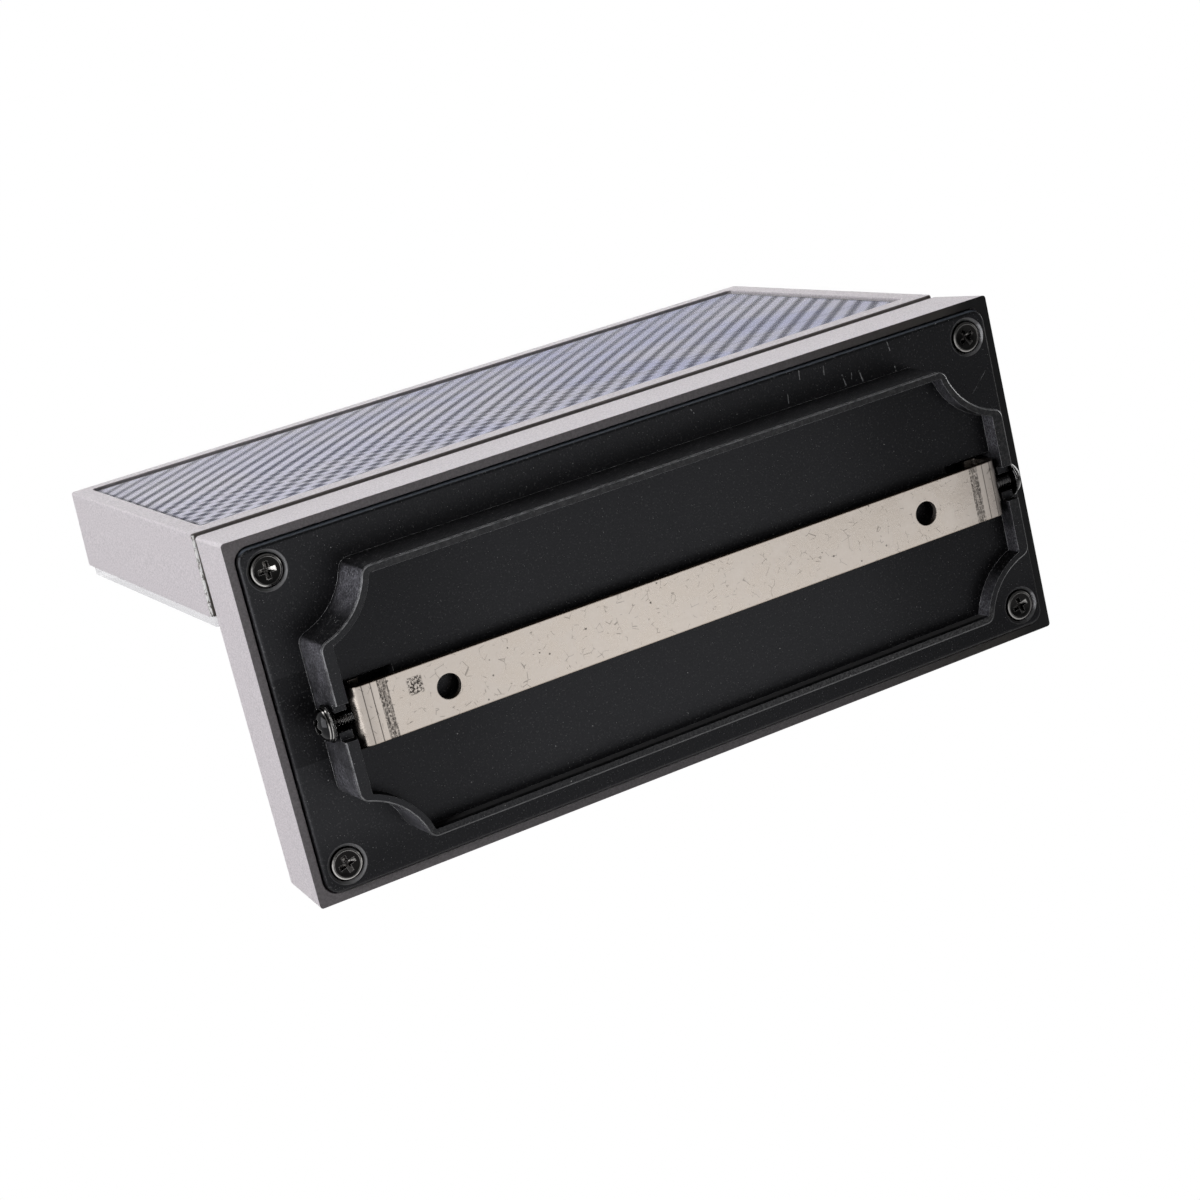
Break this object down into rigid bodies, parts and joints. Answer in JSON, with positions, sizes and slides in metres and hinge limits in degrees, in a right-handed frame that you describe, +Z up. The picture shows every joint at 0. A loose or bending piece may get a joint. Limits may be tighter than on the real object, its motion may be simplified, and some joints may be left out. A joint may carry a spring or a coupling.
{
  "type": "solar wall light",
  "caption": "Flat wall box with a slab head that carries a solar panel on top and a clear lens below, hung on a steel wall bracket behind a scalloped black back plate.",
  "frame": {"origin": "on the wall plane, midway between the two wall holes of the bracket", "axes": "+X along the wall (the light's length), +Y out of the wall towards the head, +Z up"},
  "size_m": [0.2, 0.1397, 0.0865],
  "materials": {
    "housing_paint": "die casting under fine-texture silver-grey paint",
    "black_plastic": "black, finely textured, a little dusty and scuffed",
    "seal_rubber": "soft black",
    "black_screw": "black oxide",
    "raw_steel": "bare rolled steel with handling marks",
    "fixing_screw": "dark plated, shiny",
    "inner_steel": "zinc plated",
    "lead_jacket": "matte",
    "panel_tape": "foam tape",
    "panel_board": "dark laminate",
    "solar_cell": "blue-grey with fine light stripes",
    "panel_clear": "clear resin",
    "lens_clear": "clear moulded",
    "white_plastic": "white",
    "light_board": "white solder mask",
    "led_phosphor": "phosphor in white frame",
    "inner_plastic": "black",
    "battery_wrap": "shrink sleeve",
    "contact_metal": "nickel plated",
    "control_board": "green solder mask",
    "button_rubber": "matte black"
  },
  "bodies": {
    "light": {"base_housing": "housing_paint", "back_plate": "black_plastic", "back_gasket": "seal_rubber", "back_plate_screws": "black_screw", "wall_bracket": "raw_steel", "head_housing": "housing_paint", "head_spacer": "seal_rubber", "head_screws": "inner_steel", "head_lead": "lead_jacket", "panel_tape": "panel_tape", "solar_backing": "panel_board", "solar_cells": "solar_cell", "solar_cover": "panel_clear", "lens": "lens_clear", "lens_gasket": "seal_rubber", "reflector": "white_plastic", "led_board": "light_board", "leds": "led_phosphor", "led_board_screws": "inner_steel", "led_connector": "white_plastic", "battery_holder": "inner_plastic", "battery_cells": "battery_wrap", "battery_contacts": "contact_metal", "holder_screws": "inner_steel", "control_board": "control_board", "board_screws": "inner_steel", "board_connectors": "white_plastic", "tact_switch": "inner_plastic", "button_seal": "seal_rubber"},
    "left_screw": {"left_fixing_screw": "fixing_screw"},
    "right_screw": {"right_fixing_screw": "fixing_screw"},
    "button": {"mode_button": "button_rubber", "switch_plunger": "inner_plastic"}
  },
  "joints": [
    {"name": "left_screw_travel", "type": "slide", "parent": "light", "child": "left_screw", "axis": [-1, 0, 0], "range_m": [-0.0007, 0.008]},
    {"name": "right_screw_travel", "type": "slide", "parent": "light", "child": "right_screw", "axis": [1, 0, 0], "range_m": [-0.0001, 0.008]},
    {"name": "mode_button_press", "type": "slide", "parent": "light", "child": "button", "axis": [0, 0, 1], "range_m": [0, 0.001], "stiffness_N_per_m": 800}
  ]
}
